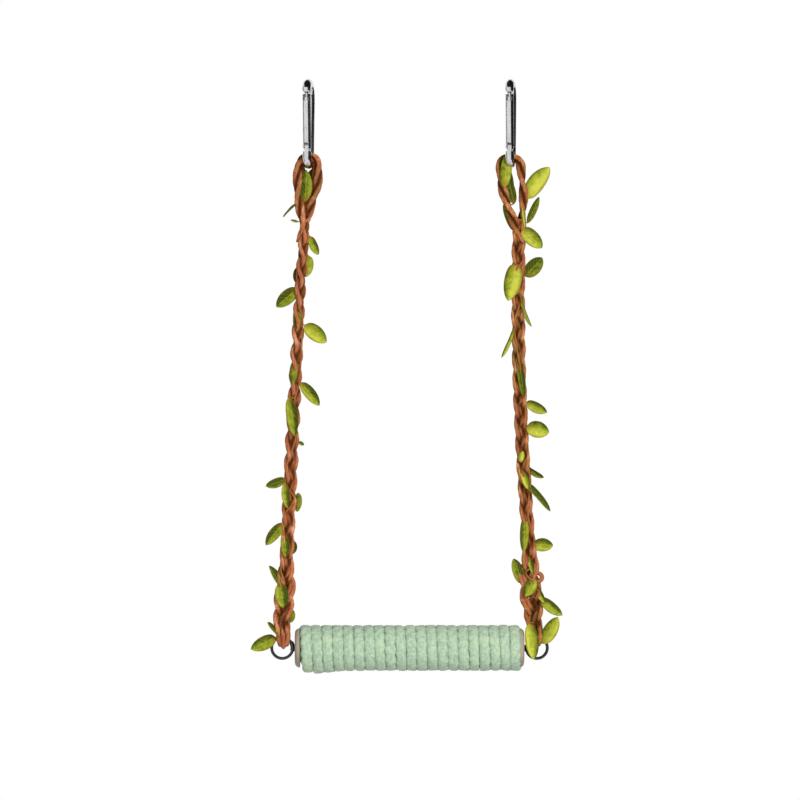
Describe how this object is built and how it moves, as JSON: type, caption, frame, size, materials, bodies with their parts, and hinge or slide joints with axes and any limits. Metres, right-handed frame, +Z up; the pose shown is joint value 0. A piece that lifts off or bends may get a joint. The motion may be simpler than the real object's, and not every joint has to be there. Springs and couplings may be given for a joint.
{
  "type": "bird swing",
  "caption": "Hanging perch for a cage bird: a rope-wound wooden bar held by two plaited leafy cords, each with a spring snap hook.",
  "frame": {"origin": "midway between the two snap hooks, on the axis of the cage bar that both hang from", "axes": "+X along the perch to the viewer's right, +Z up, the front looks along -Y"},
  "size_m": [0.1641, 0.0304, 0.3115],
  "materials": {
    "hook_steel": "bright plated",
    "gate_steel": "bright plated",
    "rivet_steel": "satin",
    "spring_steel": "satin",
    "eye_steel": "bright plated",
    "plait_cord": "twisted cord",
    "vine_stem": "covered stem",
    "leaf": "printed cloth",
    "wood": "bare turned wood",
    "cotton_rope": "soft cotton"
  },
  "bodies": {
    "hooks": {"left_hook": "hook_steel", "left_gate_pin": "rivet_steel", "right_hook": "hook_steel", "right_gate_pin": "rivet_steel"},
    "left_gate_bar": {"left_gate": "gate_steel", "left_gate_spring": "spring_steel", "left_gate_plunger": "rivet_steel"},
    "right_gate_bar": {"right_gate": "gate_steel", "right_gate_spring": "spring_steel", "right_gate_plunger": "rivet_steel"},
    "left_loop": {"left_loop_cord": "plait_cord", "left_loop_leaves": "leaf"},
    "right_loop": {"right_loop_cord": "plait_cord", "right_loop_leaves": "leaf"},
    "left_plait": {"left_plait_cord_a": "plait_cord", "left_plait_cord_b": "plait_cord", "left_plait_cord_c": "plait_cord", "left_vine": "vine_stem", "left_leaves": "leaf"},
    "right_plait": {"right_plait_cord_a": "plait_cord", "right_plait_cord_b": "plait_cord", "right_plait_cord_c": "plait_cord", "right_vine": "vine_stem", "right_leaves": "leaf"},
    "left_tail": {"left_tail_cords": "plait_cord", "left_tail_leaves": "leaf"},
    "right_tail": {"right_tail_cords": "plait_cord", "right_tail_leaves": "leaf"},
    "perch": {"perch_dowel": "wood", "perch_rope": "cotton_rope", "left_screw_eye": "eye_steel", "right_screw_eye": "eye_steel"}
  },
  "joints": [
    {"name": "left_gate_hinge", "type": "hinge", "parent": "hooks", "child": "left_gate_bar", "pos_m": [-0.05355, -0.00448, -0.0292], "axis": [-0.9925, 0.1219, 0], "range_deg": [0, 18], "stiffness_Nm_per_rad": 0.12, "springref_deg": -17.19},
    {"name": "right_gate_hinge", "type": "hinge", "parent": "hooks", "child": "right_gate_bar", "pos_m": [0.05245, -0.00448, -0.0292], "axis": [-0.9925, 0.1219, 0], "range_deg": [0, 18], "stiffness_Nm_per_rad": 0.12, "springref_deg": -17.19},
    {"name": "left_swing", "type": "hinge", "parent": "hooks", "child": "left_loop", "pos_m": [-0.053, 0, -0.03416], "axis": [1, 0, 0], "range_deg": [-45, 45]},
    {"name": "right_swing", "type": "hinge", "parent": "hooks", "child": "right_loop", "pos_m": [0.053, 0, -0.03416], "axis": [1, 0, 0], "range_deg": [-45, 45]},
    {"name": "left_sway", "type": "hinge", "parent": "left_loop", "child": "left_plait", "pos_m": [-0.055, 0, -0.06896], "axis": [0, 1, 0], "range_deg": [-12, 12]},
    {"name": "right_sway", "type": "hinge", "parent": "right_loop", "child": "right_plait", "pos_m": [0.0575, 0, -0.06896], "axis": [0, 1, 0], "range_deg": [-12, 12]},
    {"name": "left_tail_bend", "type": "hinge", "parent": "left_plait", "child": "left_tail", "pos_m": [-0.0652, 0, -0.264], "axis": [0, 1, 0], "range_deg": [-10.6, 10.6]},
    {"name": "right_tail_bend", "type": "hinge", "parent": "right_plait", "child": "right_tail", "pos_m": [0.0652, 0, -0.264], "axis": [0, 1, 0], "range_deg": [-10.6, 10.6]},
    {"name": "perch_roll", "type": "hinge", "parent": "left_tail", "child": "perch", "pos_m": [-0.0667, 0, -0.286], "axis": [1, 0, 0], "range_deg": [-40, 40]}
  ],
  "couplings": [
    {"joint": "right_swing", "follows": "left_swing", "ratio": 1},
    {"joint": "right_sway", "follows": "left_sway", "ratio": 1},
    {"joint": "left_tail_bend", "follows": "left_sway", "ratio": -0.8627},
    {"joint": "right_tail_bend", "follows": "left_sway", "ratio": -0.8627}
  ]
}
